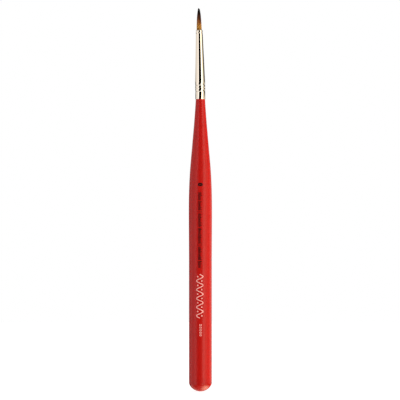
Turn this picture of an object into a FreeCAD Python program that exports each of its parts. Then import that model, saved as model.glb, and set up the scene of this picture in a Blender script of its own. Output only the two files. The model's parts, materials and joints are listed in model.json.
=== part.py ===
# Round detail paint brush, size 0: a short swelled wooden handle with a red lacquer coat, a tapered seamless
# metal ferrule crimped and glued to the handle's tenon, and a pointed tuft of filaments that is tied with
# thread and set in cement inside the ferrule.
#
# Millimetres, +Z up. The brush stands on its butt end, tuft up. The origin is the lowest point of the butt.
import FreeCAD, Part

import math
import os

# ---- handle: drops are measured down from the ferrule's lower edge ----
HANDLE_LENGTH = 114.3       # butt to the ferrule's lower edge
GRIP_DIAMETER = 8.88        # straight stretch behind the belly
GRIP_DROP = 64.3            # top of the straight grip
BELLY_SWELL = 0.09          # how far the belly stands out beyond the grip, on the radius
BELLY_DROP = 43.3           # fattest place
SHOULDER_INSET = 0.695      # how far the shoulder lies inside the belly, on the radius
SHOULDER_DROP = 25.0        # shoulder: the steepest place, between the belly and the neck
SHOULDER_SLOPE = 0.085      # radius lost there for each millimetre up
NECK_SLOPE = 0.055          # the same where the neck meets the ferrule
DOME_EXTRA_RADIUS = 0.36    # ball-turned butt: how much larger its radius is than the grip's
BUTT_EDGE_RADIUS = 2.20     # rounding between that ball and the grip
LACQUER = 0.18              # thickness of the lacquer coat

# ---- ferrule: heights are measured up its own axis from its lower edge ----
HEAD_LEAN_DEG = 1.0         # the ferrule is crimped on this far out of line, towards -X
FERRULE_LENGTH = 27.0
BARREL_DIAMETER = 3.90      # straight stretch round the tenon
BARREL_LENGTH = 7.0
BARREL_STEP = 0.13          # how far the barrel stands out beyond the lacquered neck, on the radius
MOUTH_DIAMETER = 2.58
WALL = 0.25
FOOT_ROUNDING = 0.08        # outer edge of the lower rim

# ---- rolled crimps ----
TOP_CRIMP_DROP = 1.37       # upper locking crimp, below the top of the barrel
CRIMP_SPACING = 2.46        # lower locking crimp, below the upper one
CRIMP_DEPTH = 0.11
CRIMP_WIDTH = 0.80
LIGHT_CRIMP_DEPTH = 0.04    # light crimp half way between the two locking crimps
NOSE_CRIMP_DROP = 1.17      # crimp that squeezes the filaments, below the mouth
NOSE_CRIMP_DEPTH = 0.035
LIGHT_CRIMP_WIDTH = 0.56    # width of the light and the nose crimps

# ---- what the ferrule holds ----
TENON_LENGTH = 11.0         # bare wood inside the ferrule
TENON_CHAMFER = 0.30
GLUE = 0.08                 # glue film between the tenon and the ferrule
GLUE_CAP = 0.30             # glue left on the end of the tenon
HAIR_CLEARANCE = 0.05       # between the filament bundle and the ferrule's mouth
ROOT_LENGTH = 8.0           # filaments inside the ferrule
ROOT_CHAMFER = 0.15
CEMENT_START = 1.8          # below the mouth
CEMENT_PLUG = 2.0           # cement below the end of the filaments
THREAD_DIAMETER = 0.16
THREAD_TURNS = 4
THREAD_BITE = 0.03          # how far the thread squeezes into the filaments
THREAD_GAP = 0.03           # between one turn and the next
THREAD_DROP = 5.4           # below the mouth, to the first turn

# ---- the free tuft ----
TUFT_LENGTH = 8.7           # mouth to point
FLEX_LIMIT_DEG = 35.0       # how far the tuft bends to each side
FLEX_MARGIN_DEG = 5.0       # extra relief under the tuft beyond that limit
FLEX_GAP = 0.08             # between the mouth's plane and the tuft's heel, on the axis
BELLY_REACH = 0.38          # outline handles, as shares of the tuft's length and radius
POINT_REACH = 0.92
POINT_FULLNESS = 0.71

BLANK_OVERRUN = 1.0         # how far the handle's blank runs past the seat before it is trimmed
PARTS_FOLDER = "parts"
UP = FreeCAD.Vector(0, 0, 1)
CENTRE = FreeCAD.Vector(0, 0, 0)

BUNDLE_RADIUS = MOUTH_DIAMETER / 2 - WALL - HAIR_CLEARANCE
SEAT = FreeCAD.Vector(0, 0, HANDLE_LENGTH)
LEAN = FreeCAD.Rotation(FreeCAD.Vector(0, 1, 0), -HEAD_LEAN_DEG)
HEAD = FreeCAD.Placement(SEAT, LEAN)


# ---- outlines: points are (height, radius) in the XZ plane ----

def point(height, radius):
    return FreeCAD.Vector(radius, 0, height)


def line(start, end):
    return Part.LineSegment(point(*start), point(*end)).toShape()


def arc(start, middle, end):
    return Part.Arc(point(*start), point(*middle), point(*end)).toShape()


def bezier(*poles):
    curve = Part.BezierCurve()
    curve.setPoles([point(*pole) for pole in poles])
    return curve.toShape()


def ease(low, high):
    """A smooth curve between two (height, radius, slope) stations, keeping each one's slope."""
    reach = (high[0] - low[0]) / 3
    after = (low[0] + reach, low[1] + reach * low[2])
    before = (high[0] - reach, high[1] - reach * high[2])
    return bezier(low[:2], after, before, high[:2])


def turned(edges):
    """The solid that a closed outline sweeps when it is spun about the Z axis."""
    return Part.Face(Part.Wire(edges)).revolve(CENTRE, UP, 360)


def on_head(shape):
    """Moves a solid made on the Z axis to the ferrule's axis, with height 0 at the handle's seat."""
    shape.Placement = HEAD.multiply(shape.Placement)
    return shape


# ---- handle ----

def butt_outline(inset):
    """The ball-turned end and its rounded edge, taken in by inset, up to the straight grip."""
    # The rounding's centre lies inside both the ball and the grip, by its own radius.
    grip = GRIP_DIAMETER / 2 - inset
    edge = BUTT_EDGE_RADIUS - inset
    ball_height = GRIP_DIAMETER / 2 + DOME_EXTRA_RADIUS
    ball = ball_height - inset
    turn = math.asin((grip - edge) / (ball - edge))
    edge_height = ball_height - (ball - edge) * math.cos(turn)

    def on_ball(angle):
        return ball_height - ball * math.cos(angle), ball * math.sin(angle)

    def on_edge(angle):
        return edge_height - edge * math.cos(angle), grip - edge + edge * math.sin(angle)

    return [
        arc(on_ball(0), on_ball(turn / 2), on_ball(turn)),
        arc(on_edge(turn), on_edge((turn + math.pi / 2) / 2), on_edge(math.pi / 2)),
        line(on_edge(math.pi / 2), (HANDLE_LENGTH - GRIP_DROP, grip)),
    ]


def handle_blank(inset):
    """The handle taken in by inset all over, from its butt to a little past the seat."""
    belly_radius = GRIP_DIAMETER / 2 + BELLY_SWELL - inset
    neck_radius = BARREL_DIAMETER / 2 - BARREL_STEP - inset
    grip_top = (HANDLE_LENGTH - GRIP_DROP, GRIP_DIAMETER / 2 - inset, 0)
    belly = (HANDLE_LENGTH - BELLY_DROP, belly_radius, 0)
    shoulder = (HANDLE_LENGTH - SHOULDER_DROP, belly_radius - SHOULDER_INSET, -SHOULDER_SLOPE)
    neck = (HANDLE_LENGTH, neck_radius, -NECK_SLOPE)
    end = (HANDLE_LENGTH + BLANK_OVERRUN, neck_radius - NECK_SLOPE * BLANK_OVERRUN)
    end_centre = (end[0], 0)
    swell = [ease(grip_top, belly), ease(belly, shoulder), ease(shoulder, neck)]
    closing = [line(neck[:2], end), line(end, end_centre), line(end_centre, (inset, 0))]
    return turned(butt_outline(inset) + swell + closing)


def below_seat():
    """A block that fills everything under the plane that the ferrule's lower edge stands on."""
    side = 3 * GRIP_DIAMETER
    depth = HANDLE_LENGTH + side
    return on_head(Part.makeBox(side, side, depth, FreeCAD.Vector(-side / 2, -side / 2, -depth)))


def handle_at_seat(inset):
    """The blank, trimmed square to the ferrule."""
    return handle_blank(inset).common(below_seat())


def handle_core():
    """Turned hardwood: the body inside the lacquer, with a bare tenon that the crimps have pressed into."""
    return handle_at_seat(LACQUER).fuse(tenon()).removeSplitter()


def handle_lacquer():
    """The dipped coat: a skin over the whole body, ending where the ferrule starts."""
    return handle_at_seat(0).cut(handle_at_seat(LACQUER))


# ---- ferrule ----

def crimps():
    """(height, depth, width) of each rolled crimp, from the foot up, with the crease at the barrel's top."""
    upper = BARREL_LENGTH - TOP_CRIMP_DROP
    lower = upper - CRIMP_SPACING
    return [
        (lower, CRIMP_DEPTH, CRIMP_WIDTH),
        ((lower + upper) / 2, LIGHT_CRIMP_DEPTH, LIGHT_CRIMP_WIDTH),
        (upper, CRIMP_DEPTH, CRIMP_WIDTH),
        (BARREL_LENGTH, 0, 0),
        (FERRULE_LENGTH - NOSE_CRIMP_DROP, NOSE_CRIMP_DEPTH, LIGHT_CRIMP_WIDTH),
    ]


def taper():
    """How much the ferrule's radius grows for each millimetre up its cone. It is negative."""
    return (MOUTH_DIAMETER - BARREL_DIAMETER) / 2 / (FERRULE_LENGTH - BARREL_LENGTH)


def wall_radius(height):
    """The ferrule's outer radius, crimps left out."""
    return BARREL_DIAMETER / 2 + taper() * max(0, height - BARREL_LENGTH)


def wall_point(height, inset):
    """A point on the ferrule's wall, moved inwards by inset."""
    return height, wall_radius(height) - inset


def crimp_outline(height, depth, width, inset):
    """A rolled crimp: an eased dip in the wall, with the wall's own slope at its two ends."""
    slope = taper() if height > BARREL_LENGTH else 0
    start = (*wall_point(height - width / 2, inset), slope)
    bottom = (*wall_point(height, inset + depth), slope)
    end = (*wall_point(height + width / 2, inset), slope)
    return [ease(start, bottom), ease(bottom, end)]


def wall_outline(low, high, inset):
    """The ferrule's wall from low to high, moved inwards by inset, with the crimps between them."""
    edges = []
    reached = low
    for height, depth, width in crimps():
        if low < height < high:
            edges.append(line(wall_point(reached, inset), wall_point(height - width / 2, inset)))
            if width:
                edges += crimp_outline(height, depth, width, inset)
            reached = height + width / 2
    edges.append(line(wall_point(reached, inset), wall_point(high, inset)))
    return edges


def plug(low, high, inset):
    """A solid that fills the ferrule's bore from low to high, short of its wall by inset."""
    bottom = wall_point(low, WALL + inset)
    top = wall_point(high, WALL + inset)
    sides = [line((low, 0), bottom)] + wall_outline(low, high, WALL + inset)
    return turned(sides + [line(top, (high, 0)), line((high, 0), (low, 0))])


def ferrule():
    """Seamless drawn tube: a barrel and a long cone of even wall, rolled crimps and a round lip."""
    barrel = BARREL_DIAMETER / 2
    corner = FOOT_ROUNDING * (1 - math.sqrt(0.5))
    foot = [
        line((0, barrel - WALL), (0, barrel - FOOT_ROUNDING)),
        arc((0, barrel - FOOT_ROUNDING), (corner, barrel - corner), (FOOT_ROUNDING, barrel)),
    ]
    lip = FERRULE_LENGTH - WALL / 2
    crown = (FERRULE_LENGTH, wall_radius(lip) - WALL / 2)
    mouth = [arc(wall_point(lip, 0), crown, wall_point(lip, WALL))]
    return on_head(turned(foot + wall_outline(FOOT_ROUNDING, lip, 0) + mouth + wall_outline(0, lip, WALL)))


# ---- inside the ferrule ----

def tenon():
    """Bare wood in the ferrule, short of its wall by the glue film, with a chamfered end."""
    inset = WALL + GLUE
    chamfer_start = TENON_LENGTH - TENON_CHAMFER
    end_radius = wall_radius(chamfer_start) - inset
    end = Part.makeCone(end_radius, end_radius - TENON_CHAMFER, TENON_CHAMFER,
                        FreeCAD.Vector(0, 0, chamfer_start))
    return on_head(plug(0, chamfer_start, GLUE).fuse(end))


def tenon_glue():
    """The glue film round the tenon, with a cap of spare glue over its end."""
    return on_head(plug(0, TENON_LENGTH + GLUE_CAP, 0)).cut(tenon())


def root_thread():
    """The turns of thread that tie the filaments, each a closed ring round the bundle."""
    radius = THREAD_DIAMETER / 2
    ring = BUNDLE_RADIUS + radius - THREAD_BITE
    pitch = THREAD_DIAMETER + THREAD_GAP
    top = FERRULE_LENGTH - THREAD_DROP
    turns = [
        Part.makeTorus(ring, radius, FreeCAD.Vector(0, 0, top - turn * pitch))
        for turn in range(THREAD_TURNS)
    ]
    return on_head(Part.makeCompound(turns))


def bundle():
    """The filaments inside the ferrule as one plain bundle, with its lower edge a little broken."""
    low = FERRULE_LENGTH - ROOT_LENGTH
    base = Part.makeCone(BUNDLE_RADIUS - ROOT_CHAMFER, BUNDLE_RADIUS, ROOT_CHAMFER,
                         FreeCAD.Vector(0, 0, low))
    body = Part.makeCylinder(BUNDLE_RADIUS, ROOT_LENGTH - ROOT_CHAMFER,
                             FreeCAD.Vector(0, 0, low + ROOT_CHAMFER))
    return on_head(base.fuse(body))


def hair_root():
    """The bundle, nipped in where the thread bites."""
    return bundle().cut(root_thread())


def root_cement():
    """Cement run in from behind: it fills the cone round the root and plugs the bore below it."""
    low = FERRULE_LENGTH - ROOT_LENGTH - CEMENT_PLUG
    high = FERRULE_LENGTH - CEMENT_START
    return on_head(plug(low, high, 0)).cut(bundle()).cut(root_thread())


# ---- tuft ----

def tuft():
    """The free filaments as one solid: a full belly drawn to a point, with a heel cut back so it can bend."""
    relief = math.tan(math.radians(FLEX_LIMIT_DEG + FLEX_MARGIN_DEG))
    heel = (FERRULE_LENGTH + FLEX_GAP, 0)
    shoulder = (heel[0] + BUNDLE_RADIUS * relief, BUNDLE_RADIUS)
    tip = (FERRULE_LENGTH + TUFT_LENGTH, 0)
    side = bezier(
        shoulder,
        (FERRULE_LENGTH + BELLY_REACH * TUFT_LENGTH, BUNDLE_RADIUS),
        (FERRULE_LENGTH + POINT_REACH * TUFT_LENGTH, POINT_FULLNESS * BUNDLE_RADIUS),
        tip,
    )
    return on_head(turned([line(heel, shoulder), side, line(tip, heel)]))


PIECES = {
    "handle_core": handle_core,
    "handle_lacquer": handle_lacquer,
    "ferrule": ferrule,
    "tenon_glue": tenon_glue,
    "root_thread": root_thread,
    "hair_root": hair_root,
    "root_cement": root_cement,
    "tuft": tuft,
}


def main():
    os.makedirs(PARTS_FOLDER, exist_ok=True)
    for name, make in PIECES.items():
        shape = make()
        shape.exportStep(f"{PARTS_FOLDER}/{name}.step")
        print(f"{name}: {len(shape.Solids)} solids, valid {shape.isValid()}, {shape.Volume:.3f} mm3")
    pivot = HEAD.multVec(FreeCAD.Vector(0, 0, FERRULE_LENGTH))
    print(f"mouth centre, where the tuft flexes: {pivot.x:.4f}, {pivot.y:.4f}, {pivot.z:.4f}")


main()
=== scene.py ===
import json
import math

import bmesh
import bpy
from mathutils import Matrix, Vector


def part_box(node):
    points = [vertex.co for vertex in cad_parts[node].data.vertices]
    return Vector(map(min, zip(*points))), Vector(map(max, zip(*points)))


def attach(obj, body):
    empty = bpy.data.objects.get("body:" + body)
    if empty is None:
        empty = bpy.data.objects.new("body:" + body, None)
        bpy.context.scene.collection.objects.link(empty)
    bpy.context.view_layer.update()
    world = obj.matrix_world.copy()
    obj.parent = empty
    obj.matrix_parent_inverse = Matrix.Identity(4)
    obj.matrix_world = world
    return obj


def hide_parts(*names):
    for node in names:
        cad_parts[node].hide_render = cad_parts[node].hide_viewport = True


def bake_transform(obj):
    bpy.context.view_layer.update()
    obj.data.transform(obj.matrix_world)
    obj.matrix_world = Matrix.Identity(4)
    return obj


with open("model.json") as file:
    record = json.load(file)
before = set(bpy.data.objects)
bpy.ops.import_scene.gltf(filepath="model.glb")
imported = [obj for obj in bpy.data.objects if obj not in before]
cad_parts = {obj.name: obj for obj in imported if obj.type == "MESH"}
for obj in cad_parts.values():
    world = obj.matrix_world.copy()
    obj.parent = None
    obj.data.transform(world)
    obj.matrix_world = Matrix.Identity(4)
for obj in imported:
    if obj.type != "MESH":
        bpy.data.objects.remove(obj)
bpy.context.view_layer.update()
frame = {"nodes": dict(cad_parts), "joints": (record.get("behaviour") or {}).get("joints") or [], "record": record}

MM = 0.001
flex = frame["joints"][0]
grip = next(mount for mount in frame["record"]["mounts"] if mount["name"] == "grip")

# ---- sizes in millimetres, the same as the frame's ----
FERRULE_LENGTH = 27.0
BARREL_LENGTH = 7.0         # the ferrule's straight part, at the handle
BARREL_STEP = 0.13          # how much thinner the handle's neck is than the barrel
WALL = 0.25
MOUTH_RADIUS = 1.29
HAIR_CLEARANCE = 0.05
FOOT_ROUNDING = 0.08
GRIP_DROP = 64.3            # from the ferrule's foot down to where the straight grip ends
BELLY_DROP = 43.3           # and down to the fullest place
BELLY_SWELL = 0.09          # how much further out the belly lies than the grip
SHOULDER_DROP = 25.0
SHOULDER_INSET = 0.695      # and the shoulder further in than the belly
SHOULDER_SLOPE = 0.085      # how fast the handle thins there, in radius for each millimetre up
NECK_SLOPE = 0.055
DOME_EXTRA_RADIUS = 0.36    # the butt is part of a ball this much larger in radius than the grip
BUTT_EDGE_RADIUS = 2.20     # the rounding between that ball and the grip
LACQUER = 0.18

# (height above the ferrule's foot, depth, width) of each rolled crimp. The row of no width is the corner
# where the barrel ends.
CRIMPS = [
    (3.17, 0.11, 0.80),
    (4.40, 0.04, 0.56),
    (5.63, 0.11, 0.80),
    (BARREL_LENGTH, 0.0, 0.0),
    (25.83, 0.045, 0.50),
]

# ---- places, from the frame ----
MOUTH = Vector(flex["pos_m"])
LEAN = math.asin(-MOUTH.x / (FERRULE_LENGTH * MM))
SEAT = MOUTH.z / MM - FERRULE_LENGTH * math.cos(LEAN)
HEAD = Matrix.Translation((0, 0, SEAT * MM)) @ Matrix.Rotation(-LEAN, 4, "Y")
GRIP_RADIUS = grip["dims"]["r_mm"]
BARREL_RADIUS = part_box("ferrule")[1].y / MM
TUFT_LENGTH = (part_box("tuft")[1].z - MOUTH.z) / math.cos(LEAN) / MM
BUNDLE_RADIUS = MOUTH_RADIUS - WALL - HAIR_CLEARANCE

# ---- how finely the pieces are cut ----
SIDES = 128                 # facets round a turned piece
CURVE_STEPS = 16            # points along each eased stretch of an outline
ARC_STEPS = 12
GRIP_STEPS = 10
SHARP_EDGE = 40             # degrees from which an edge shows
CLOSE = 1e-6                # millimetres that count as nothing


# ======== small helpers ========

def linear(hex_colour):
    """An sRGB hex colour as linear RGBA."""
    channels = [int(hex_colour[i:i + 2], 16) / 255 for i in (1, 3, 5)]
    return [c / 12.92 if c <= 0.04045 else ((c + 0.055) / 1.055) ** 2.4 for c in channels] + [1.0]


def add(tree, kind, inputs=None, output=None, **settings):
    """Adds a node, sets its properties, and links or sets its inputs by name or number.

    It returns the node, or the output that is asked for.
    """
    node = tree.nodes.new(kind)
    for key, value in settings.items():
        setattr(node, key, value)
    for key, value in (inputs or {}).items():
        if isinstance(value, bpy.types.NodeSocket):
            tree.links.new(value, node.inputs[key])
        else:
            node.inputs[key].default_value = value
    return node if output is None else node.outputs[output]


def show(name, mesh):
    """Puts a finished mesh in the scene, at the origin."""
    piece = bpy.data.objects.new(name, mesh)
    bpy.context.scene.collection.objects.link(piece)
    return piece


# ======== outlines: lists of (height, radius) in millimetres ========

def eased(low, high):
    """A smooth stretch between two (height, radius, slope) stations, without its last point."""
    rise = high[0] - low[0]
    points = []
    for step in range(CURVE_STEPS):
        t = step / CURVE_STEPS
        radius = (
            low[1] * (1 + 2 * t) * (1 - t) ** 2
            + high[1] * (3 - 2 * t) * t ** 2
            + rise * low[2] * t * (1 - t) ** 2
            - rise * high[2] * (1 - t) * t ** 2
        )
        points.append((low[0] + rise * t, radius))
    return points


def round_stretch(centre, radius, start, end):
    """An arc from start to end, in degrees from straight down towards the outside, both ends included."""
    turns = [math.radians(start + (end - start) * step / ARC_STEPS) for step in range(ARC_STEPS + 1)]
    return [(centre[0] - radius * math.cos(a), centre[1] + radius * math.sin(a)) for a in turns]


def handle_outline(inset):
    """The handle from its butt to the ferrule, taken in by inset."""
    grip_radius = GRIP_RADIUS - inset
    edge = BUTT_EDGE_RADIUS - inset
    ball_height = GRIP_RADIUS + DOME_EXTRA_RADIUS
    ball = ball_height - inset
    turn = math.asin((grip_radius - edge) / (ball - edge))
    edge_height = ball_height - (ball - edge) * math.cos(turn)
    grip_length = SEAT - GRIP_DROP - edge_height
    belly_radius = GRIP_RADIUS + BELLY_SWELL - inset
    grip_top = (SEAT - GRIP_DROP, grip_radius, 0)
    belly = (SEAT - BELLY_DROP, belly_radius, 0)
    shoulder = (SEAT - SHOULDER_DROP, belly_radius - SHOULDER_INSET, -SHOULDER_SLOPE)
    neck = (SEAT, BARREL_RADIUS - BARREL_STEP - inset, -NECK_SLOPE)
    return (
        round_stretch((ball_height, 0), ball, 0, math.degrees(turn))
        + round_stretch((edge_height, grip_radius - edge), edge, math.degrees(turn), 90)[1:]
        + [(edge_height + grip_length * step / GRIP_STEPS, grip_radius) for step in range(1, GRIP_STEPS)]
        + eased(grip_top, belly)
        + eased(belly, shoulder)
        + eased(shoulder, neck)
        + [neck[:2]]
    )


TAPER = (MOUTH_RADIUS - BARREL_RADIUS) / (FERRULE_LENGTH - BARREL_LENGTH)


def wall_radius(height):
    """The ferrule's outer radius at a height above its foot, crimps left out."""
    return BARREL_RADIUS + TAPER * max(0, height - BARREL_LENGTH)


def wall_outline(low, high, inset):
    """The ferrule's wall between two heights, moved inwards by inset, with its crimps."""
    points = [(low, wall_radius(low) - inset)]
    for height, depth, width in CRIMPS:
        if width:
            slope = TAPER if height > BARREL_LENGTH else 0
            ends = [height - width / 2, height, height + width / 2]
            depths = [0, depth, 0]
            start, bottom, end = [(h, wall_radius(h) - inset - d, slope) for h, d in zip(ends, depths)]
            points += eased(start, bottom) + eased(bottom, end) + [end[:2]]
        else:
            points.append((height, wall_radius(height) - inset))
    points.append((high, wall_radius(high) - inset))
    return points


# ======== turned pieces ========

def turned(name, outline, place, looped=False, tilt=None):
    """A solid of revolution with outward faces. Points of no radius are poles.

    A looped outline closes on itself. tilt is (height, slope): the ring at that height is cut on a plane that
    climbs by slope towards +X.
    """
    bm = bmesh.new()
    rings = []
    for height, radius in outline:
        count = SIDES if radius > CLOSE else 1
        ring = []
        for side in range(count):
            angle = 2 * math.pi * side / SIDES
            x = radius * math.cos(angle)
            y = radius * math.sin(angle)
            z = height + (x * tilt[1] if tilt and abs(height - tilt[0]) < CLOSE else 0)
            ring.append(bm.verts.new((x * MM, y * MM, z * MM)))
        rings.append(ring)
    pairs = list(zip(rings, rings[1:])) + ([(rings[-1], rings[0])] if looped else [])
    for low, high in pairs:
        for side in range(SIDES):
            after = (side + 1) % SIDES
            corners = [
                low[side % len(low)], low[after % len(low)],
                high[after % len(high)], high[side % len(high)],
            ]
            bm.faces.new(list(dict.fromkeys(corners)))
    mesh = bpy.data.meshes.new(name)
    bm.to_mesh(mesh)
    bm.free()
    mesh.transform(place)
    mesh.shade_smooth()
    mesh.set_sharp_from_angle(angle=math.radians(SHARP_EDGE))
    return show(name, mesh)


def lacquer_coat():
    """The dipped coat: a skin with the handle's outer shape outside and the wood's shape inside."""
    outline = handle_outline(0) + handle_outline(LACQUER)[::-1]
    return turned("lacquer_coat", outline, Matrix.Identity(4), tilt=(SEAT, math.tan(LEAN)))


def ferrule_tube():
    """The drawn tube, with its rolled crimps, rounded foot and round lip."""
    lip = FERRULE_LENGTH - WALL / 2
    foot = round_stretch((FOOT_ROUNDING, BARREL_RADIUS - FOOT_ROUNDING), FOOT_ROUNDING, 0, 90)
    outside = wall_outline(FOOT_ROUNDING, lip, 0)[1:]
    crown = round_stretch((lip, wall_radius(lip) - WALL / 2), WALL / 2, 90, 270)[1:-1]
    inside = wall_outline(0, lip, WALL)[::-1]
    return turned("ferrule_tube", foot + outside + crown + inside, HEAD, looped=True)


# ======== the filaments ========

FILAMENTS = 760
FILAMENT_RADIUS = 0.035     # at the root: 0.07 mm tapered filament, as small rounds are filled with
FILAMENT_POINTS = 11        # along one filament
FILAMENT_SIDES = 4          # round it
ROOT_DEPTH = 0.15           # how far the modelled filaments start below the mouth
GOLDEN_ANGLE = math.pi * (3 - math.sqrt(5))
SHORTENING_POWER = 1.5      # how far out from the heart the filaments begin to end lower
SWAY_TURN = math.pi * 1.3   # what a filament's sideways bow runs through from root to tip, in radians

# The tuft's outline: share of the free length, share of the bundle's radius.
TUFT_OUTLINE = [
    (0, 1), (0.15, 0.99), (0.28, 0.955), (0.37, 0.9), (0.46, 0.86), (0.55, 0.805),
    (0.64, 0.755), (0.73, 0.67), (0.82, 0.56), (0.91, 0.43), (0.955, 0.37), (1, 0.22),
]
# One filament's thickness from its root to its tip.
FILAMENT_TAPER = [(0, 1), (0.5, 0.96), (0.8, 0.82), (0.95, 0.6), (1, 0.3)]

# How much further the dye has crept down, from the bundle's -X side (0) to its +X side (1).
DYE_DIP = [(0, 0.0), (0.4, 0.012), (0.56, 0.15), (0.8, 0.13), (1, 0.05)]
# Where along the filaments that streak lies.
DYE_STREAK = [(0, 0.0), (0.22, 0.15), (0.36, 0.8), (0.46, 1.0), (0.56, 0.7), (0.68, 0.2), (1, 0.0)]
# Painted shade: how far the filaments' colour is darkened, from the same side to the same side, darkest on the +X
# side.
SIDE_PAINTED_SHADE = [(0, 0.88), (0.3, 0.97), (0.5, 0.98), (0.7, 0.82), (1, 0.6)]

# What differs by chance from filament to filament, least and most. Each is drawn with a seed of its own.
CHANCES = [
    ("turn", -0.12, 0.12),      # radians off its even place round the disc
    ("cut", 0.25, 1.0),         # how much of the shortening it takes
    ("tone", 0.9, 1.0),         # how pale it is
    ("bow_x", -1.0, 1.0),       # which way it bows, and how much
    ("bow_y", -1.0, 1.0),
]
LEAST, MOST, DRAWN = 2, 3, 1    # the sockets of a random value that hold plain numbers

# What a filament's points remember while the bundle is made.
REMEMBERED = {
    "root": "FLOAT_VECTOR",     # its place on the disc
    "section": "FLOAT_VECTOR",  # the point's place on the straight filament
    "along": "FLOAT",           # 0 at the root, 1 at the tip
    "length": "FLOAT",          # its length as a share of the longest
    "tone": "FLOAT",
    "bow_x": "FLOAT",
    "bow_y": "FLOAT",
}

BUNDLE_INPUTS = {
    "Count": "NodeSocketInt",
    "Bundle Radius": "NodeSocketFloat",
    "Free Length": "NodeSocketFloat",
    "Filament Radius": "NodeSocketFloat",
    "Tip Stagger": "NodeSocketFloat",
    "Side Stagger": "NodeSocketFloat",
    "Waviness": "NodeSocketFloat",
    "Seed": "NodeSocketInt",
    "Material": "NodeSocketMaterial",
}


def drawn_through(node, points):
    """Draws a curve node's curve through the points, and returns its value."""
    curve = node.mapping.curves[0]
    curve.points[0].location = points[0]
    curve.points[1].location = points[-1]
    for x, y in points[1:-1]:
        curve.points.new(x, y)
    node.mapping.update()
    return node.outputs["Value"]


def filament_roots(tree, given):
    """Roots spread evenly over a disc, the outermost just inside its edge, each a little different."""
    drawn = {}
    for offset, (label, least, most) in enumerate(CHANCES, start=1):
        seed = add(tree, "ShaderNodeMath", {0: given["Seed"], 1: offset}, 0, operation="ADD")
        draw = {LEAST: least, MOST: most, "Seed": seed}
        drawn[label] = add(tree, "FunctionNodeRandomValue", draw, DRAWN, data_type="FLOAT")

    index = add(tree, "GeometryNodeInputIndex", output=0)
    rank = add(tree, "ShaderNodeMath", {0: index, 1: 0.5}, 0, operation="ADD")
    area = add(tree, "ShaderNodeMath", {0: rank, 1: given["Count"]}, 0, operation="DIVIDE")
    share = add(tree, "ShaderNodeMath", {0: area}, 0, operation="SQRT")
    turn = add(tree, "ShaderNodeMath", {0: index, 1: GOLDEN_ANGLE}, 0, operation="MULTIPLY")
    angle = add(tree, "ShaderNodeMath", {0: turn, 1: drawn["turn"]}, 0, operation="ADD")
    room = {0: given["Bundle Radius"], 1: given["Filament Radius"]}
    room = add(tree, "ShaderNodeMath", room, 0, operation="SUBTRACT")
    reach = add(tree, "ShaderNodeMath", {0: share, 1: room}, 0, operation="MULTIPLY")
    cosine = add(tree, "ShaderNodeMath", {0: angle}, 0, operation="COSINE")
    sine = add(tree, "ShaderNodeMath", {0: angle}, 0, operation="SINE")
    x = add(tree, "ShaderNodeMath", {0: reach, 1: cosine}, 0, operation="MULTIPLY")
    y = add(tree, "ShaderNodeMath", {0: reach, 1: sine}, 0, operation="MULTIPLY")
    root = add(tree, "ShaderNodeCombineXYZ", {"X": x, "Y": y}, 0)

    # outer filaments end lower than those in the heart, those on the +X side a little lower still
    outer = add(tree, "ShaderNodeMath", {0: share, 1: SHORTENING_POWER}, 0, operation="POWER")
    outer = add(tree, "ShaderNodeMath", {0: outer, 1: drawn["cut"]}, 0, operation="MULTIPLY")
    outer = add(tree, "ShaderNodeMath", {0: outer, 1: given["Tip Stagger"]}, 0, operation="MULTIPLY")
    right = add(tree, "ShaderNodeMath", {0: x, 1: given["Bundle Radius"]}, 0, operation="DIVIDE")
    right = add(tree, "ShaderNodeMath", {0: right, 1: 0.0}, 0, operation="MAXIMUM")
    right = add(tree, "ShaderNodeMath", {0: right, 1: given["Side Stagger"]}, 0, operation="MULTIPLY")
    cut = add(tree, "ShaderNodeMath", {0: outer, 1: right}, 0, operation="ADD")
    length = add(tree, "ShaderNodeMath", {0: 1.0, 1: cut}, 0, operation="SUBTRACT")

    points = add(tree, "GeometryNodePoints", {"Count": given["Count"]}, 0)
    kept = {"root": root, "length": length}
    kept.update({label: drawn[label] for label in ("tone", "bow_x", "bow_y")})
    for label, value in kept.items():
        points = add(tree, "GeometryNodeStoreNamedAttribute", {
            "Geometry": points, "Name": label, "Value": value,
        }, 0, data_type=REMEMBERED[label], domain="POINT")
    return points


def one_filament(tree, given):
    """A straight filament of unit length, square in section, that thins towards its tip."""
    spine = add(tree, "GeometryNodeCurvePrimitiveLine", {"End": (0, 0, 1)}, 0)
    spine = add(tree, "GeometryNodeResampleCurve", {"Curve": spine, "Count": FILAMENT_POINTS}, 0)
    along = add(tree, "GeometryNodeSplineParameter", output="Factor")
    spine = add(tree, "GeometryNodeStoreNamedAttribute", {
        "Geometry": spine, "Name": "along", "Value": along,
    }, 0, data_type=REMEMBERED["along"], domain="POINT")
    taper = drawn_through(add(tree, "ShaderNodeFloatCurve", {"Value": along}), FILAMENT_TAPER)
    section = add(tree, "GeometryNodeCurvePrimitiveCircle", {
        "Resolution": FILAMENT_SIDES, "Radius": given["Filament Radius"],
    }, 0)
    filament = add(tree, "GeometryNodeCurveToMesh", {
        "Curve": spine, "Profile Curve": section, "Scale": taper, "Fill Caps": True,
    }, 0)
    place = add(tree, "GeometryNodeInputPosition", output=0)
    return add(tree, "GeometryNodeStoreNamedAttribute", {
        "Geometry": filament, "Name": "section", "Value": place,
    }, 0, data_type=REMEMBERED["section"], domain="POINT")


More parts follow.
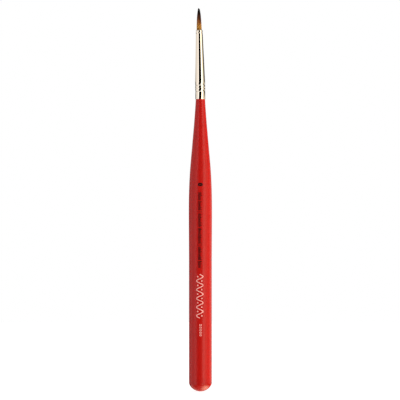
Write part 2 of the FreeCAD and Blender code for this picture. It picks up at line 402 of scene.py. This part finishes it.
def gathered(tree, given, held, bunch):
    """Draws every filament along the tuft's outline, in towards the point, with a slight sideways bow."""
    risen = add(tree, "ShaderNodeMath", {0: held["along"], 1: held["length"]}, 0, operation="MULTIPLY")
    outline = drawn_through(add(tree, "ShaderNodeFloatCurve", {"Value": risen}), TUFT_OUTLINE)
    swing = add(tree, "ShaderNodeMath", {0: held["along"], 1: SWAY_TURN}, 0, operation="MULTIPLY")
    swing = add(tree, "ShaderNodeMath", {0: swing}, 0, operation="SINE")
    swing = add(tree, "ShaderNodeMath", {0: swing, 1: given["Waviness"]}, 0, operation="MULTIPLY")
    sway = add(tree, "ShaderNodeCombineXYZ", {
        "X": add(tree, "ShaderNodeMath", {0: held["bow_x"], 1: swing}, 0, operation="MULTIPLY"),
        "Y": add(tree, "ShaderNodeMath", {0: held["bow_y"], 1: swing}, 0, operation="MULTIPLY"),
        "Z": add(tree, "ShaderNodeMath", {0: risen, 1: given["Free Length"]}, 0, operation="MULTIPLY"),
    }, 0)
    drawn_in = {0: held["root"], "Scale": outline}
    drawn_in = add(tree, "ShaderNodeVectorMath", drawn_in, 0, operation="SCALE")
    centre = add(tree, "ShaderNodeVectorMath", {0: drawn_in, 1: sway}, 0, operation="ADD")
    flat = {0: held["section"], 1: (1, 1, 0)}
    flat = add(tree, "ShaderNodeVectorMath", flat, 0, operation="MULTIPLY")
    place = add(tree, "ShaderNodeVectorMath", {0: centre, 1: flat}, 0, operation="ADD")
    return add(tree, "GeometryNodeSetPosition", {"Geometry": bunch, "Position": place}, 0)


def dye_mapped(tree, given, held, bunch):
    """Gives the bunch its filament map: across is how pale a filament is, by chance and with painted shade by
    side, up is where the dye has reached.
    """
    x = add(tree, "ShaderNodeSeparateXYZ", {"Vector": held["root"]}, "X")
    side = add(tree, "ShaderNodeMath", {0: x, 1: given["Bundle Radius"]}, 0, operation="DIVIDE")
    side = add(tree, "ShaderNodeMath", {0: side, 1: 0.5, 2: 0.5}, 0, operation="MULTIPLY_ADD")
    dip = drawn_through(add(tree, "ShaderNodeFloatCurve", {"Value": side}), DYE_DIP)
    streak = drawn_through(add(tree, "ShaderNodeFloatCurve", {"Value": held["along"]}), DYE_STREAK)
    # painted shade: the filaments are darkened by side, a little on the -X side and most towards the +X edge
    tone = drawn_through(add(tree, "ShaderNodeFloatCurve", {"Value": side}), SIDE_PAINTED_SHADE)
    pair = add(tree, "ShaderNodeCombineXYZ", {
        "X": add(tree, "ShaderNodeMath", {0: tone, 1: held["tone"]}, 0, operation="MULTIPLY"),
        "Y": add(tree, "ShaderNodeMath", {0: dip, 1: streak, 2: held["along"]}, 0, operation="MULTIPLY_ADD"),
    }, 0)
    return add(tree, "GeometryNodeStoreNamedAttribute", {
        "Geometry": bunch, "Name": "filament", "Value": pair,
    }, 0, data_type="FLOAT2", domain="CORNER")


def bundle_tree():
    """A filament on every root of a disc, all of them drawn to their own tips near one point."""
    tree = bpy.data.node_groups.new("filament bundle", "GeometryNodeTree")
    for label, kind in BUNDLE_INPUTS.items():
        tree.interface.new_socket(label, in_out="INPUT", socket_type=kind)
    tree.interface.new_socket("Geometry", in_out="OUTPUT", socket_type="NodeSocketGeometry")
    given = add(tree, "NodeGroupInput").outputs
    bunch = add(tree, "GeometryNodeInstanceOnPoints", {
        "Points": filament_roots(tree, given), "Instance": one_filament(tree, given),
    }, 0)
    bunch = add(tree, "GeometryNodeRealizeInstances", {"Geometry": bunch}, 0)
    held = {}
    for label, kind in REMEMBERED.items():
        held[label] = add(tree, "GeometryNodeInputNamedAttribute", {"Name": label}, 0, data_type=kind)
    bunch = gathered(tree, given, held, bunch)
    bunch = dye_mapped(tree, given, held, bunch)
    bunch = add(tree, "GeometryNodeSetMaterial", {"Geometry": bunch, "Material": given["Material"]}, 0)
    add(tree, "NodeGroupOutput", {"Geometry": bunch})
    return tree


def grown(name, tree, values, place):
    """Runs a tree with its inputs set, keeps the result as a plain mesh in place, and drops the modifier."""
    holder = show(name + " source", bpy.data.meshes.new(name + " source"))
    modifier = holder.modifiers.new(tree.name, "NODES")
    modifier.node_group = tree
    keys = {item.name: item.identifier for item in tree.interface.items_tree if item.in_out == "INPUT"}
    for label, value in values.items():
        modifier[keys[label]] = value
    bpy.context.view_layer.update()
    whole = holder.evaluated_get(bpy.context.evaluated_depsgraph_get())
    mesh = bpy.data.meshes.new_from_object(whole)
    mesh.name = name
    bpy.data.objects.remove(holder)
    mesh.transform(place)
    mesh.shade_smooth()
    return show(name, mesh)


def filament_bundle(material):
    """Several hundred tapered filaments that lie together and come to one point."""
    values = {
        "Count": FILAMENTS,
        "Bundle Radius": BUNDLE_RADIUS * MM,
        "Free Length": (TUFT_LENGTH + ROOT_DEPTH) * MM,
        "Filament Radius": FILAMENT_RADIUS * MM,
        "Tip Stagger": 0.085,
        "Side Stagger": 0.04,
        "Waviness": 0.012 * MM,
        "Seed": 7,
        "Material": material,
    }
    start = HEAD @ Matrix.Translation((0, 0, (FERRULE_LENGTH - ROOT_DEPTH) * MM))
    return grown("filament_bundle", bundle_tree(), values, start)


# ======== printed marks, in millimetres: across from the middle of the printed side, and up ========

INK = 0.012                 # thickness of a pad-printed ink film
STROKE_STEPS = 8            # pieces that each stretch of an open stroke is cut in, so that it hugs the handle
HANDLE_OUTLINE = handle_outline(0)


def handle_radius(height):
    """The lacquered handle's radius at a height."""
    for (low, r_low), (high, r_high) in zip(HANDLE_OUTLINE, HANDLE_OUTLINE[1:]):
        if low <= height <= high and high > low:
            return r_low + (r_high - r_low) * (height - low) / (high - low)
    return GRIP_RADIUS


def on_handle(across, height, lift):
    """A point on the handle's printed side, across millimetres round from its middle."""
    radius = handle_radius(height)
    angle = across / radius
    reach = (radius + lift) * MM
    return Vector((reach * math.sin(angle), -reach * math.cos(angle), height * MM))


def finely_cut(line):
    """The same open line with every stretch cut in short pieces."""
    points = []
    for a, b in zip(line, line[1:]):
        for step in range(STROKE_STEPS):
            share = step / STROKE_STEPS
            points.append((a[0] + (b[0] - a[0]) * share, a[1] + (b[1] - a[1]) * share))
    return points + [line[-1]]


def stroke(bm, line, width, closed=False):
    """A raised ribbon of ink along a line of (across, height) points, hugging the handle."""
    if not closed:
        line = finely_cut(line)
    count = len(line)
    ribs = []
    for i, (across, height) in enumerate(line):
        before = line[(i - 1) % count] if closed or i else line[0]
        after = line[(i + 1) % count] if closed or i < count - 1 else line[-1]
        way = Vector((after[0] - before[0], after[1] - before[1])).normalized()
        side = Vector((way.y, -way.x)) * width / 2
        left = (across - side.x, height - side.y)
        right = (across + side.x, height + side.y)
        corners = [(left, 0), (left, INK), (right, INK), (right, 0)]
        ribs.append([bm.verts.new(on_handle(*point, lift)) for point, lift in corners])
    last = count if closed else count - 1
    for i in range(last):
        low = ribs[i]
        high = ribs[(i + 1) % count]
        for a in range(len(low)):
            b = (a + 1) % len(low)
            bm.faces.new([low[a], low[b], high[b], high[a]])
    if not closed:
        bm.faces.new(ribs[0][::-1])
        bm.faces.new(ribs[-1])


def printed(name, draw):
    """Makes a mesh from a function that draws strokes in it."""
    bm = bmesh.new()
    draw(bm)
    bmesh.ops.recalc_face_normals(bm, faces=bm.faces)
    mesh = bpy.data.meshes.new(name)
    bm.to_mesh(mesh)
    bm.free()
    return show(name, mesh)


def oval(across, height, half_across, half_height, points):
    """A closed oval line."""
    turns = [2 * math.pi * i / points for i in range(points)]
    return [(across + half_across * math.cos(a), height + half_height * math.sin(a)) for a in turns]


def size_numeral(bm):
    """The size, a plain 0 that lies on its side."""
    ring = oval(across=-0.06, height=80.9, half_across=0.72, half_height=0.37, points=40)
    stroke(bm, ring, width=0.54, closed=True)


TICK_GROUPS = [7, 8, 1, 12, 14, 1, 12, 6]
TICK_TOP = 77.6
TICK_PITCH = 0.44
TICK_GAP = 0.36             # extra room between two groups
# (middle, half length, width)
SHORT_TICK = (-0.40, 0.46, 0.30)
LONG_TICK = (-0.24, 0.70, 0.30)
LONE_TICK = (-0.40, 0.95, 0.16)


def tick_row(bm):
    """A row of fine ticks in uneven groups, in place of a line of small type."""
    height = TICK_TOP
    for group, ticks in enumerate(TICK_GROUPS):
        for tick in range(ticks):
            long = (tick * 5 + group * 3) % 7 in (0, 3)  # an uneven beat
            shape = LONE_TICK if ticks == 1 else LONG_TICK if long else SHORT_TICK
            middle, half_length, width = shape
            stroke(bm, [(middle - half_length, height), (middle + half_length, height)], width)
            height -= TICK_PITCH
        height -= TICK_GAP


def wave_band(bm):
    """A running wave between dots, in place of large type."""
    foot = 28.9
    top = 45.9
    middle = -0.25
    swing = 1.28
    dot_swing = 0.80
    dot_radius = 0.15
    waves = 5
    dots = 2 * waves
    steps = 140
    line = []
    for step in range(steps + 1):
        share = step / steps
        across = middle + swing * math.sin(2 * math.pi * waves * share)
        line.append((across, top - (top - foot) * share))
    stroke(bm, line, width=0.36)
    for dot in range(dots):
        side = -1 if dot % 2 == 0 else 1
        height = top - (top - foot) * (dot + 0.5) / dots
        ring = oval(middle + side * dot_swing, height, dot_radius, dot_radius, points=14)
        stroke(bm, ring, width=0.29, closed=True)


def dot_row(bm):
    """A short row of small rings, in place of a small word."""
    foot = 22.2
    pitch = 1.0
    dots = 5
    for dot in range(dots):
        ring = oval(across=0.06, height=foot + dot * pitch, half_across=0.40, half_height=0.26, points=18)
        stroke(bm, ring, width=0.17, closed=True)


# ======== materials ========

NOISE_LOW, NOISE_HIGH = 0.3, 0.7    # the band that a noise's values mostly keep to
FIRST, SECOND, MIXED = 6, 7, 2      # the sockets of a mix node that hold colours
BAND = math.pi / 10                 # what one band of a wave texture takes up at a scale of 1


def new_finish(name):
    """A new material with an empty tree."""
    made = bpy.data.materials.new(name)
    made.use_nodes = True
    made.node_tree.nodes.clear()
    return made, made.node_tree


def grain(tree, size, detail=3.0, roughness=0.5, distortion=0.0):
    """Noise on the object's own coordinates. size is one grain's (x, y, z) in millimetres."""
    place = add(tree, "ShaderNodeTexCoord", output="Object")
    scale = [1 / (length * MM) for length in size]
    scaled = add(tree, "ShaderNodeMapping", {"Vector": place, "Scale": scale}, 0)
    return add(tree, "ShaderNodeTexNoise", {
        "Vector": scaled, "Scale": 1.0, "Detail": detail, "Roughness": roughness, "Distortion": distortion,
    }, "Fac")


def two_shades(tree, noise, first, second):
    """A colour that wanders between two shades as a noise does."""
    share = {"Value": noise, "From Min": NOISE_LOW, "From Max": NOISE_HIGH}
    share = add(tree, "ShaderNodeMapRange", share, 0)
    shades = {"Factor": share, FIRST: linear(first), SECOND: linear(second)}
    return add(tree, "ShaderNodeMix", shades, MIXED, data_type="RGBA")


def red_lacquer():
    """Nitrocellulose lacquer, dipped: red with a soft gloss, and painted shade that darkens the red towards the
    butt.

    The wood's grain and a faint orange peel only just disturb its reflections.
    """
    made, tree = new_finish("red nitrocellulose lacquer, dipped")
    cloud = grain(tree, (3.0, 3.0, 14.0), detail=2.0)
    wood = grain(tree, (0.35, 0.35, 9.0))
    peel = grain(tree, (0.5, 0.5, 0.7), detail=2.0)
    sheen = grain(tree, (1.2, 1.2, 5.0), detail=4.0)
    place = add(tree, "ShaderNodeTexCoord", output="Object")
    rise = add(tree, "ShaderNodeSeparateXYZ", {"Vector": place}, "Z")
    # painted shade: the red is mixed towards a darker red from 5.4 mm above the butt down to 0.8 mm
    painted_butt_shade = add(tree, "ShaderNodeMapRange", {
        "Value": rise, "From Min": 0.8 * MM, "From Max": 5.4 * MM, "To Min": 1.0, "To Max": 0.0,
    }, 0)
    thin = two_shades(tree, cloud, "#bc1712", "#bf1813")
    # thin is the mottled red itself; the darker red towards the butt is painted shade
    shades = {"Factor": painted_butt_shade, FIRST: thin, SECOND: linear("#a5140f")}
    uneven = add(tree, "ShaderNodeMath", {0: wood, 1: peel}, 0, operation="ADD")
    surface = add(tree, "ShaderNodeBsdfPrincipled", {
        "Base Color": add(tree, "ShaderNodeMix", shades, MIXED, data_type="RGBA"),
        "Roughness": add(tree, "ShaderNodeMapRange", {
            "Value": sheen, "From Min": NOISE_LOW, "From Max": NOISE_HIGH, "To Min": 0.25, "To Max": 0.28,
        }, 0),
        "IOR": 1.5,
        "Specular IOR Level": 0.22,
        "Normal": add(tree, "ShaderNodeBump", {"Height": uneven, "Distance": 0.002 * MM, "Strength": 0.5}, 0),
    }, 0)
    add(tree, "ShaderNodeOutputMaterial", {"Surface": surface})
    return made


def nickel_plate():
    """Nickel plate on drawn brass: warm silver, nearly a mirror, with fine lines along the tube."""
    made, tree = new_finish("nickel-plated brass, drawn and polished")
    lines = grain(tree, (0.05, 0.05, 6.0))
    haze = grain(tree, (0.9, 0.9, 2.4), detail=4.0)
    surface = add(tree, "ShaderNodeBsdfPrincipled", {
        "Base Color": two_shades(tree, haze, "#e7dbcb", "#ebdfd0"),
        "Metallic": 1.0,
        "Roughness": add(tree, "ShaderNodeMapRange", {
            "Value": haze, "From Min": NOISE_LOW, "From Max": NOISE_HIGH, "To Min": 0.03, "To Max": 0.05,
        }, 0),
        "Normal": add(tree, "ShaderNodeBump", {"Height": lines, "Distance": 0.0004 * MM, "Strength": 0.3}, 0),
    }, 0)
    add(tree, "ShaderNodeOutputMaterial", {"Surface": surface})
    return made


# The colour along a filament, from root to tip: darker in its first tenth at the ferrule's mouth, then golden
# brown, dyed near-black towards the tip.
FILAMENT_DYE = [
    (0.0, "#9c6b2f"), (0.05, "#c18b41"), (0.11, "#e2a64e"), (0.24, "#df9f49"), (0.34, "#d08c48"),
    (0.46, "#b0672f"), (0.56, "#8c4f27"), (0.66, "#63331a"), (0.76, "#34150a"), (0.88, "#0c0200"),
    (1.0, "#080100"),
]


def tipped_filament():
    """Tapered polyester filament, golden brown with the tips dipped near-black: silky along its length."""
    made, tree = new_finish("tapered polyester filament, tips dyed")
    place = add(tree, "ShaderNodeUVMap", output=0, uv_map="filament")
    parts = add(tree, "ShaderNodeSeparateXYZ", {"Vector": place}).outputs
    dye = add(tree, "ShaderNodeValToRGB", {"Fac": parts["Y"]})
    stops = dye.color_ramp.elements
    for stop, (position, colour) in zip(stops, (FILAMENT_DYE[0], FILAMENT_DYE[-1])):
        stop.position = position
        stop.color = linear(colour)
    for position, colour in FILAMENT_DYE[1:-1]:
        stops.new(position).color = linear(colour)
    # the map's across darkens the dye: by chance, and with painted shade by the bundle's side
    tinted = {"Color": dye.outputs["Color"], "Value": parts["X"]}
    surface = add(tree, "ShaderNodeBsdfPrincipled", {
        "Base Color": add(tree, "ShaderNodeHueSaturation", tinted, "Color"),
        "Roughness": add(tree, "ShaderNodeMapRange", {
            "Value": parts["X"], "From Min": 0.6, "From Max": 1.0, "To Min": 0.48, "To Max": 0.38,
        }, 0),
        "IOR": 1.5,
        "Specular IOR Level": 0.2,
    }, 0)
    add(tree, "ShaderNodeOutputMaterial", {"Surface": surface})
    return made


def pad_print_ink(name, colour, worn):
    """Pad-printed ink: a thin even film, satin, a little broken where it lies on the gloss."""
    made, tree = new_finish(name)
    speckle = grain(tree, (0.12, 0.12, 0.12))
    surface = add(tree, "ShaderNodeBsdfPrincipled", {
        "Base Color": two_shades(tree, speckle, worn, colour),
        "Roughness": 0.45,
        "IOR": 1.48,
        "Specular IOR Level": 0.2,
    }, 0)
    add(tree, "ShaderNodeOutputMaterial", {"Surface": surface})
    return made


def turned_birch():
    """Birch, turned and sanded: pale, with fine long grain."""
    made, tree = new_finish("birch, turned and sanded")
    fibres = grain(tree, (0.25, 0.25, 8.0), detail=5.0, roughness=0.6, distortion=0.4)
    surface = add(tree, "ShaderNodeBsdfPrincipled", {
        "Base Color": two_shades(tree, fibres, "#c9a777", "#e2c79b"),
        "Roughness": 0.6,
        "Normal": add(tree, "ShaderNodeBump", {"Height": fibres, "Distance": 0.02 * MM, "Strength": 0.5}, 0),
    }, 0)
    add(tree, "ShaderNodeOutputMaterial", {"Surface": surface})
    return made


def cured_resin(name, dark, light, size):
    """Cured adhesive or epoxy: amber with trapped clouding and a smooth skin."""
    made, tree = new_finish(name)
    cloud = grain(tree, (size, size, size), detail=4.0)
    surface = add(tree, "ShaderNodeBsdfPrincipled", {
        "Base Color": two_shades(tree, cloud, dark, light),
        "Roughness": add(tree, "ShaderNodeMapRange", {
            "Value": cloud, "From Min": NOISE_LOW, "From Max": NOISE_HIGH, "To Min": 0.15, "To Max": 0.3,
        }, 0),
        "IOR": 1.55,
    }, 0)
    add(tree, "ShaderNodeOutputMaterial", {"Surface": surface})
    return made


def binding_thread():
    """Twisted polyester thread: off-white with slanting plies 0.1 mm apart."""
    made, tree = new_finish("twisted polyester thread")
    place = add(tree, "ShaderNodeTexCoord", output="Object")
    twist = add(tree, "ShaderNodeMapping", {"Vector": place, "Rotation": (0.6, 0.4, 0.0)}, 0)
    plies = add(tree, "ShaderNodeTexWave", {
        "Vector": twist, "Scale": BAND / (0.1 * MM), "Distortion": 1.0, "Detail": 1.0,
    }, "Fac", wave_type="BANDS", bands_direction="Z")
    shades = {"Factor": plies, FIRST: linear("#b9b2a0"), SECOND: linear("#e6e1d4")}
    surface = add(tree, "ShaderNodeBsdfPrincipled", {
        "Base Color": add(tree, "ShaderNodeMix", shades, MIXED, data_type="RGBA"),
        "Roughness": 0.7,
        "Normal": add(tree, "ShaderNodeBump", {"Height": plies, "Distance": 0.02 * MM, "Strength": 0.6}, 0),
    }, 0)
    add(tree, "ShaderNodeOutputMaterial", {"Surface": surface})
    return made


def packed_filament():
    """The filaments packed side by side in the root: golden brown with fine lines along them."""
    made, tree = new_finish("polyester filament, packed")
    lines = grain(tree, (0.09, 0.09, 5.0), detail=2.0)
    surface = add(tree, "ShaderNodeBsdfPrincipled", {
        "Base Color": two_shades(tree, lines, "#8f6032", "#bd8448"),
        "Roughness": 0.45,
        "Normal": add(tree, "ShaderNodeBump", {"Height": lines, "Distance": 0.03 * MM, "Strength": 0.6}, 0),
    }, 0)
    add(tree, "ShaderNodeOutputMaterial", {"Surface": surface})
    return made


# ======== putting the brush together ========

coat = lacquer_coat()
coat.data.materials.append(red_lacquer())
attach(coat, "handle")
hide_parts("handle_lacquer")

tube = ferrule_tube()
tube.data.materials.append(nickel_plate())
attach(tube, "handle")
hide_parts("ferrule")

black_ink = pad_print_ink("black pad-print ink", "#140505", "#240605")
white_ink = pad_print_ink("white pad-print ink", "#ffc6c2", "#ff9f9a")
for mark_name, mark, ink in [
    ("size_numeral", size_numeral, black_ink),
    ("tick_row", tick_row, black_ink),
    ("wave_band", wave_band, white_ink),
    ("dot_row", dot_row, white_ink),
]:
    print_piece = printed(mark_name, mark)
    print_piece.data.materials.append(ink)
    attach(print_piece, "handle")

tuft = filament_bundle(tipped_filament())
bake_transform(tuft)
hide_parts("tuft")

for node, material in {
    "handle_core": turned_birch(),
    "tenon_glue": cured_resin("contact adhesive, cured", "#b79a55", "#d9c58c", size=0.8),
    "root_thread": binding_thread(),
    "hair_root": packed_filament(),
    "root_cement": cured_resin("epoxy cement, cured", "#8a5a1e", "#b98a3c", size=0.6),
}.items():
    for held in frame["nodes"][node].material_slots:
        held.material = material


# ======== stage, lights and camera ========

FLOOR_RADIUS = 0.5
FLOOR_SIDES = 96
FLOOR_DROP = 0.0002         # how far the table top lies under the butt, so that the two don't touch


def light_table():
    """A frosted white table top, lit from within, that takes only a trace of a contact shadow."""
    made, tree = new_finish("frosted white table top")
    surface = add(tree, "ShaderNodeBsdfPrincipled", {
        "Base Color": linear("#959593"),
        "Roughness": 0.9,
        "Specular IOR Level": 0.0,
        "Emission Color": linear("#ffffff"),
        "Emission Strength": 0.92,
    }, 0)
    add(tree, "ShaderNodeOutputMaterial", {"Surface": surface})
    return made


def table_top():
    """A flat round floor that only the camera sees."""
    bm = bmesh.new()
    bmesh.ops.create_circle(bm, cap_ends=True, radius=FLOOR_RADIUS, segments=FLOOR_SIDES)
    mesh = bpy.data.meshes.new("floor")
    bm.to_mesh(mesh)
    bm.free()
    mesh.transform(Matrix.Translation((0, 0, -FLOOR_DROP)))
    mesh.materials.append(light_table())
    floor = show("floor", mesh)
    floor.visible_glossy = False
    floor.visible_diffuse = False
    floor.visible_shadow = False
    return floor


floor = table_top()

# The studio's lights, as the brush sees them. Azimuth 0 is the camera's side and 90 is +X; both in degrees.
# (name, azimuth from, to, feather, elevation from, to, feather, radiance, colour)
LIGHTS = [
    ("left softbox, its middle", -62, -36, 3, -42, 40, 8, 1.52, "#ffffff"),
    ("left softbox, its side", -122, -62, 3, -42, 40, 8, 0.92, "#fffdfb"),
    ("right softbox, its middle", 25, 50, 4, -42, 40, 8, 2.90, "#fffae8"),
    ("right softbox, its side", 50, 83, 4, -42, 40, 8, 1.25, "#fff8e2"),
    ("card behind, right", 98, 152, 6, -14, 3, 3, 1.13, "#fff8e8"),
    ("backdrop, left", -210, -122, 6, 3, 8, 1.5, 0.90, "#fffdf8"),
    ("table lamp, low right", 62, 158, 30, -77, -42, 15, 8.6, "#fff3cb"),
    ("table top", -220, 220, 5, -110, -60, 6, 0.60, "#fffaf2"),
    ("table top behind, left", -210, -105, 8, -56, -26, 6, 1.00, "#fff4e6"),
    ("table top behind, right", 150, 210, 8, -50, -26, 6, 0.90, "#fff4e6"),
    ("overhead softbox", -4, 96, 10, 38, 110, 6, 1.80, "#fffdfa"),
    ("overhead softbox, its front", -60, -4, 10, 38, 110, 6, 0.90, "#fffdfa"),
    ("wall behind", 100, 210, 10, 4, 60, 6, 0.14, "#ffeed8"),
]
GAP_LEAN = 1.2              # degrees of azimuth by which the softboxes lean to +X for each degree upwards
LEAN_SPAN = (-6, 10)        # the elevations between which they lean


def window(tree, angle, low, high, feather):
    """1 between two angles, 0 outside, with soft edges."""
    rise = add(tree, "ShaderNodeMapRange", {
        "Value": angle, "From Min": low - feather, "From Max": low + feather,
    }, 0, interpolation_type="SMOOTHSTEP")
    fall = add(tree, "ShaderNodeMapRange", {
        "Value": angle, "From Min": high - feather, "From Max": high + feather,
        "To Min": 1.0, "To Max": 0.0,
    }, 0, interpolation_type="SMOOTHSTEP")
    return add(tree, "ShaderNodeMath", {0: rise, 1: fall}, 0, operation="MULTIPLY")


def sky_angles(tree):
    """The azimuth and elevation of a direction in degrees, the azimuth counted from the softboxes' lean."""
    way = add(tree, "ShaderNodeTexCoord", output="Generated")
    way = add(tree, "ShaderNodeSeparateXYZ", {"Vector": way}).outputs
    to_camera = add(tree, "ShaderNodeMath", {0: way["Y"], 1: -1.0}, 0, operation="MULTIPLY")
    elevation = add(tree, "ShaderNodeMath", {0: way["Z"]}, 0, operation="ARCSINE")
    elevation = add(tree, "ShaderNodeMath", {0: elevation}, 0, operation="DEGREES")
    leaning = add(tree, "ShaderNodeMath", {0: elevation, 1: LEAN_SPAN[0]}, 0, operation="MAXIMUM")
    leaning = add(tree, "ShaderNodeMath", {0: leaning, 1: LEAN_SPAN[1]}, 0, operation="MINIMUM")
    leaning = add(tree, "ShaderNodeMath", {0: leaning, 1: GAP_LEAN}, 0, operation="MULTIPLY")
    upright = add(tree, "ShaderNodeMath", {0: way["X"], 1: to_camera}, 0, operation="ARCTAN2")
    upright = add(tree, "ShaderNodeMath", {0: upright}, 0, operation="DEGREES")
    azimuth = add(tree, "ShaderNodeMath", {0: upright, 1: leaning}, 0, operation="SUBTRACT")
    return azimuth, elevation


def studio_room():
    """The room round the table: pale where the camera sees it, softboxes and dark gaps to the brush."""
    world = bpy.data.worlds.new("studio room")
    world.use_nodes = True
    tree = world.node_tree
    tree.nodes.clear()
    azimuth, elevation = sky_angles(tree)
    total = (0.0, 0.0, 0.0)
    for _, left, right, side_feather, low, high, end_feather, radiance, colour in LIGHTS:
        across = window(tree, azimuth, left, right, side_feather)
        upward = window(tree, elevation, low, high, end_feather)
        shape = add(tree, "ShaderNodeMath", {0: across, 1: upward}, 0, operation="MULTIPLY")
        glow = [channel * radiance for channel in linear(colour)[:3]]
        patch = add(tree, "ShaderNodeVectorMath", {0: glow, "Scale": shape}, 0, operation="SCALE")
        total = add(tree, "ShaderNodeVectorMath", {0: total, 1: patch}, 0, operation="ADD")
    lit = add(tree, "ShaderNodeBackground", {"Color": total}, 0)
    pale = add(tree, "ShaderNodeBackground", {"Color": linear("#ffffff")}, 0)
    seen = add(tree, "ShaderNodeLightPath", output="Is Camera Ray")
    room = add(tree, "ShaderNodeMixShader", {0: seen, 1: lit, 2: pale}, 0)
    add(tree, "ShaderNodeOutputWorld", {"Surface": room})
    world.cycles.sampling_method = "MANUAL"
    world.cycles.sample_map_resolution = 1024
    return world


bpy.context.scene.world = studio_room()

FRAME_HEIGHT = 0.15652      # what the square frame takes in at the brush
AIM = Vector((-0.00016, 0, 0.07487))
LENS = 200.0
SENSOR = 36.0

camera = bpy.data.cameras.new("camera")
camera.lens = LENS
camera.sensor_width = SENSOR
camera.clip_start = 0.01
camera.clip_end = 20.0
viewer = bpy.data.objects.new("camera", camera)
bpy.context.scene.collection.objects.link(viewer)
viewer.location = AIM + Vector((0, -FRAME_HEIGHT * LENS / SENSOR, 0))
viewer.rotation_euler = (math.radians(90), 0, 0)
bpy.context.scene.camera = viewer
bpy.context.scene.view_settings.view_transform = "Standard"
